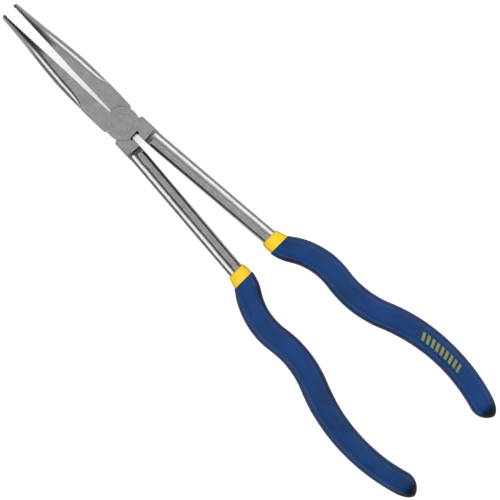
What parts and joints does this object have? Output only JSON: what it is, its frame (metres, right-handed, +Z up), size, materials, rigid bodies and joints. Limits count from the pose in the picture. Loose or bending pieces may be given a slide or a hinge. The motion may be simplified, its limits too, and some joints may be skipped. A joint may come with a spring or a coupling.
{
  "type": "needle nose pliers",
  "caption": "Long-reach needle nose pliers: slim tapered jaws, half-lap pivot, long straight rods and curved, double-dipped soft grips; the upper half turns on the pivot rivet.",
  "frame": {"origin": "on the pivot axis, in the plane of the joint's ground underside, which is the lower end of the rivet", "axes": "+Y from the pivot to the jaw tips along the tool's middle line, +Z up along the pivot axis, +X to the right"},
  "size_m": [0.0688, 0.2789, 0.0103],
  "materials": {
    "forged_steel": "ground flats, polished rounds",
    "rivet_steel": "ground flush",
    "yellow_vinyl": "glossy dip coat",
    "blue_vinyl": "semi-gloss dip coat"
  },
  "bodies": {
    "lower_half": {"lower_forged_half": "forged_steel", "pivot_rivet": "rivet_steel", "left_base_coat": "yellow_vinyl", "left_grip": "blue_vinyl"},
    "upper_half": {"upper_forged_half": "forged_steel", "right_base_coat": "yellow_vinyl", "right_grip": "blue_vinyl"}
  },
  "joints": [
    {"name": "pivot", "type": "hinge", "parent": "lower_half", "child": "upper_half", "pos_m": [0, 0, 0], "axis": [0, 0, 1], "range_deg": [-4.2, 42]}
  ]
}
